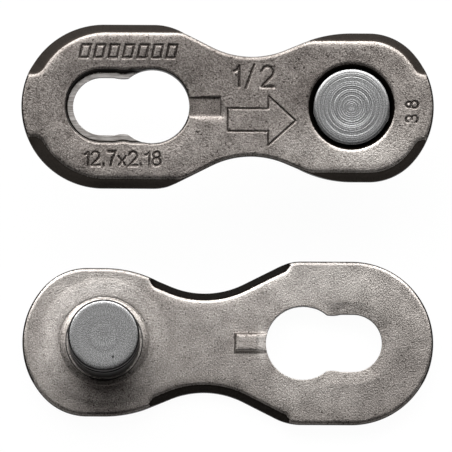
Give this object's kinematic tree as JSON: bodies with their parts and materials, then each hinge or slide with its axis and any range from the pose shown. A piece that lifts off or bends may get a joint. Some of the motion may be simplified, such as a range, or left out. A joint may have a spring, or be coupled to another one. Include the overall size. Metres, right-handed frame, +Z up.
{
  "type": "chain connecting link",
  "caption": "Quick connecting link for a half inch pitch chain: two waisted steel plates laid apart, each with a riveted pin and a keyhole with a sunken seat.",
  "frame": {"origin": "centre of the floor area that the two halves cover, on the floor", "axes": "+X along the chain, from the lower half's pin to its keyhole; +Y from the lower half to the upper half; +Z up"},
  "size_m": [0.021, 0.02, 0.0056],
  "materials": {
    "plate": "tumbled satin nickel plate",
    "pin": "turned and ground bare steel"
  },
  "bodies": {
    "root": {"upper_plate": "plate", "upper_pin": "pin", "lower_plate": "plate", "lower_pin": "pin"}
  },
  "joints": []
}
